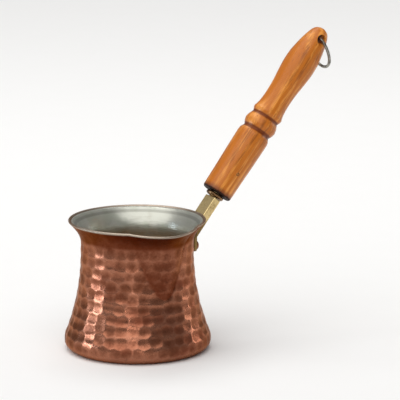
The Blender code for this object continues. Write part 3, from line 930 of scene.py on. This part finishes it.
def wood_mesh():
    """The turned handle in its own frame, with its bore, its grooves and small tool marks."""
    line = smooth_line(WOOD_OUTLINE, 520)
    up = line[:, 0] * WOOD_LENGTH
    radius = line[:, 1] * WOOD_WIDEST / 2
    tool_depth, tool_feed, inset = 0.018 * MM, 0.9 * MM, 0.03 * MM
    tool = tool_depth * np.sin(2 * pi * up / tool_feed) * (up < 0.96 * WOOD_LENGTH)
    outside = np.stack([radius + tool - inset, up], -1)
    tip_rows = 7
    tip_radius = np.linspace(outside[-1, 0], 0.05 * MM, tip_rows + 1)[1:]
    tip = np.stack([tip_radius, np.full(tip_rows, WOOD_LENGTH)], -1)
    outside = np.vstack([outside, tip])[::-1]
    ends = [(7.2, 0.0), (5.0, 0.02), (2.55, 0.0), (2.35, 0.25), (2.3, 8.0), (2.3, 30.0)]
    ends += [(2.3, 37.6), (2.0, 38.0), (0.05, 38.0)]
    bore = evenly(np.array(ends) * MM, 0.9 * MM)
    rings = turned_rings(np.vstack([outside, bore]), WOOD_SIDES)
    angle = np.linspace(0, 2 * pi, WOOD_SIDES, endpoint=False)
    wobble = 1 - 0.004 * (1 + np.cos(2 * angle + 0.4))
    rings[: len(outside), :, :2] *= wobble[None, :, None]
    reach = 22
    window = np.ones(2 * reach + 1) / (2 * reach + 1)
    around = np.convolve(np.pad(radius, reach, mode="edge"), window, mode="valid")
    # How deep each groove sits below the turning around it, for the painted shade in the grooves.
    shallow, full = 0.22 * MM, 0.52 * MM
    groove_shade = np.clip((around - radius - shallow) / (full - shallow), 0, 1)
    groove_shade = groove_shade * (up < 0.48 * WOOD_LENGTH)
    marks = np.zeros(rings.shape[:2])
    marks[: len(outside)] = np.concatenate([np.zeros(tip_rows), groove_shade[::-1]])[:, None]
    return loft("wooden_handle", rings, {"groove_shade": marks})


class AddWood(bpy.types.Operator):
    """Adds the turned wooden handle with its cross holes"""

    bl_idname = "coffee_pot.add_wood"
    bl_label = "Add wooden handle"

    def execute(self, context):
        material = wood_finish(context.scene.coffee_handle)
        at = handle_frame()
        made = add_piece(
            "handle_turned", wood_mesh(), material, "oiled_wood", "pot", "wooden_handle", at=at
        )
        pin = at @ Vector((0, 0, PIN_UP))
        reach = Vector((0, 20 * MM, 0))
        mouth = np.array(
            [(0.02, 7.2), (3.9, 7.2), (3.4, 6.2), (2.75, 5.3), (2.35, 4.6), (2.2, 3.9)]
            + [(2.2, -3.9), (2.35, -4.6), (2.75, -5.3), (3.4, -6.2), (3.9, -7.2), (0.02, -7.2)]
        )
        hole = loft("ring_hole", turned_rings(evenly(mouth * MM, 0.4 * MM), 48))
        hole.transform(Matrix.Translation(HINGE) @ Matrix.Rotation(pi / 2, 4, "X"))
        cut(made, hole, rod("pin_hole", PIN_DRILL, pin - reach, pin + reach))
        made.data.materials.clear()
        made.data.materials.append(material)
        made.data.shade_smooth()
        made.data.set_sharp_from_angle(angle=radians(48))
        return {"FINISHED"}


class AddPin(bpy.types.Operator):
    """Adds the pin through the wood and the tang"""

    bl_idname = "coffee_pot.add_pin"
    bl_label = "Add handle pin"

    def execute(self, context):
        low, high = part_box("handle_pin")
        half = (high.y - low.y) / 2 / MM
        radius, crown = 0.9, 0.35
        angles = np.linspace(0.05, pi / 2, 8)
        side = [(radius * sin(a), half - crown + crown * cos(a)) for a in angles]
        outline = np.array(side + [(r, -h) for r, h in reversed(side)]) * MM
        mesh = loft("handle_pin", turned_rings(evenly(outline, 0.2 * MM), 40))
        at = Matrix.Translation((low + high) / 2) @ Matrix.Rotation(pi / 2, 4, "X")
        material = wire_finish("aged_pin", PIN_CLEAN, PIN_DULL)
        add_piece("pin_peened", mesh, material, "aged_wire", "pot", "handle_pin", at=at)
        return {"FINISHED"}


class AddRing(bpy.types.Operator):
    """Adds the bent wire ring"""

    bl_idname = "coffee_pot.add_ring"
    bl_label = "Add hanging ring"

    def execute(self, context):
        settings = context.scene.coffee_handle
        radius, wire = settings.ring_radius, settings.wire / 2
        gap = 0.35 * MM / radius
        seam = radians(-60)
        turn = np.linspace(seam + gap / 2, seam + 2 * pi - gap / 2, RING_STEPS)
        reach = radius * (0.997 - 0.005 * (1 - np.cos(3 * turn + 1.0)))
        drift = 0.10 * MM * np.sin(2 * turn)
        middle = np.stack([drift, reach * np.cos(turn), reach * np.sin(turn)], -1)
        outward = np.stack([np.zeros(RING_STEPS), np.cos(turn), np.sin(turn)], -1)
        spin = np.linspace(0, 2 * pi, 20, endpoint=False)
        side = np.array([1.0, 0.0, 0.0])
        rings = middle[:, None] + wire * (
            np.cos(spin)[None, :, None] * outward[:, None] + np.sin(spin)[None, :, None] * side
        )
        caps = [rings[0] * 0.4 + middle[0] * 0.6, rings[-1] * 0.4 + middle[-1] * 0.6]
        rings = np.concatenate([caps[:1], rings, caps[1:]])
        mesh = loft("hanging_ring", rings)
        face_outwards(mesh)
        mesh.set_sharp_from_angle(angle=radians(50))
        hinge_above_wire = 1.1 * MM
        turn_out = Matrix.Rotation(-settings.swung_out, 4, "Y")
        hang = Matrix.Translation((0, 0, hinge_above_wire - radius))
        at = Matrix.Translation(HINGE) @ turn_out @ hang
        material = wire_finish("aged_wire", settings.steel, settings.rust)
        add_piece("ring_bent_wire", mesh, material, "aged_wire", "ring", "hanging_ring", at=at)
        return {"FINISHED"}


# ---------------------------------------------------------------- stage


def aim(obj, place, target):
    """Puts a light or the camera at a place, pointed at a target."""
    obj.location = place
    obj.rotation_euler = (Vector(target) - Vector(place)).to_track_quat("-Z", "Y").to_euler()


def soft_light(name, place, target, size, power, tint):
    """A rectangular light that the camera doesn't see."""
    data = bpy.data.lights.new(name, "AREA")
    data.shape = "RECTANGLE"
    data.size, data.size_y = size
    data.energy = power
    data.color = tint
    made = add_object(name, data)
    made.visible_camera = False
    aim(made, place, target)
    return made


class AddStage(bpy.types.Operator):
    """Adds the pale floor, the soft lights and the camera"""

    bl_idname = "coffee_pot.add_stage"
    bl_label = "Add stage"

    def execute(self, context):
        scene = context.scene
        settings = scene.coffee_stage
        right = Vector((cos(CAMERA_TURN), sin(CAMERA_TURN), 0))
        near = Vector((sin(CAMERA_TURN), -cos(CAMERA_TURN), 0))
        up = Vector((0, 0, 1))

        shape = bmesh.new()
        bmesh.ops.create_grid(shape, x_segments=24, y_segments=24, size=4.0)
        mesh = bpy.data.meshes.new("floor")
        shape.to_mesh(mesh)
        shape.free()
        floor = add_object("floor", mesh)
        finish = Finish("floor")
        cloud = finish.spread(finish.noise(finish.place(), 40.0, 3.0, 0.5), 0.4, 0.6, 0.0, 0.06)
        shade = finish.mix(cloud, tuple(settings.floor), FLOOR_CLOUD)
        mesh.materials.append(finish.surface(base_color=shade, roughness=0.85, specular_ior_level=0.0))

        def spot(across, towards, above):
            """A place to the right, towards the camera and up, in metres."""
            return right * across + near * towards + up * above

        middle = spot(0.02, 0.0, 0.07)
        # These three show only as highlights.
        for name, offset, size, power, tint in (
            ("left", spot(-0.95, 0.14, 0.08), (0.25, 0.30), settings.key, DAYLIGHT),
            ("front", spot(-0.14, 1.04, 0.06), (0.13, 0.22), settings.fill, WHITE),
            ("side", spot(0.90, -0.31, 0.16), (0.26, 0.34), settings.side, WHITE),
        ):
            made = soft_light(name, middle + offset, middle, size, power, tint)
            made.visible_diffuse = False
        top = middle + spot(-0.15, -0.45, 1.1)
        soft_light("top", top, middle, (0.9, 0.5), settings.top, WHITE)
        sun = bpy.data.lights.new("sun", "SUN")
        sun.energy = settings.sun
        sun.angle = radians(80)
        aim(add_object("sun", sun), middle + spot(-0.3, 0.6, 1.0), middle)

        world = bpy.data.worlds.new("studio")
        scene.world = world
        world.use_nodes = True
        tree = world.node_tree
        sky = tree.nodes["Background"]
        seen = tree.nodes.new("ShaderNodeLightPath")
        blend = tree.nodes.new("ShaderNodeMix")
        blend.data_type = "RGBA"
        tree.links.new(seen.outputs["Is Camera Ray"], blend.inputs[0])
        blend.inputs[6].default_value = WORLD_LIGHT
        blend.inputs[7].default_value = WORLD_SEEN
        tree.links.new(blend.outputs[2], sky.inputs["Color"])

        lens = bpy.data.cameras.new("camera")
        lens.lens = settings.lens
        lens.sensor_width = 36.0
        lens.clip_start = 0.01
        camera = add_object("camera", lens)
        aim(camera, spot(0.042, 1.30, 0.358), spot(0.0325, 0.0, 0.0785))
        scene.camera = camera
        scene.view_settings.view_transform = "Standard"
        return {"FINISHED"}


class CoffeePotPanel(bpy.types.Panel):
    """Lists the pot's pieces in the sidebar"""

    bl_idname = "COFFEE_PT_pot"
    bl_label = "Coffee pot"
    bl_space_type = "VIEW_3D"
    bl_region_type = "UI"
    bl_category = "Coffee pot"

    def draw(self, context):
        column = self.layout.column(align=True)
        for piece in PIECES:
            column.operator(piece.bl_idname)
        for group in (context.scene.coffee_pot, context.scene.coffee_handle, context.scene.coffee_stage):
            box = self.layout.box()
            for name in group.bl_rna.properties.keys():
                if name not in ("rna_type", "name"):
                    box.prop(group, name)


PIECES = (
    AddPotBody,
    AddTinLining,
    AddBracket,
    AddRivets,
    AddCollar,
    AddWood,
    AddPin,
    AddRing,
    AddStage,
)
CLASSES = (PotSettings, HandleSettings, StageSettings, *PIECES, CoffeePotPanel)


def register():
    for kind in CLASSES:
        bpy.utils.register_class(kind)
    bpy.types.Scene.coffee_pot = PointerProperty(type=PotSettings)
    bpy.types.Scene.coffee_handle = PointerProperty(type=HandleSettings)
    bpy.types.Scene.coffee_stage = PointerProperty(type=StageSettings)


def unregister():
    del bpy.types.Scene.coffee_stage
    del bpy.types.Scene.coffee_handle
    del bpy.types.Scene.coffee_pot
    for kind in reversed(CLASSES):
        bpy.utils.unregister_class(kind)


def main():
    register()
    for piece in PIECES:
        group, name = piece.bl_idname.split(".")
        getattr(getattr(bpy.ops, group), name)()


if __name__ == "__main__":
    main()
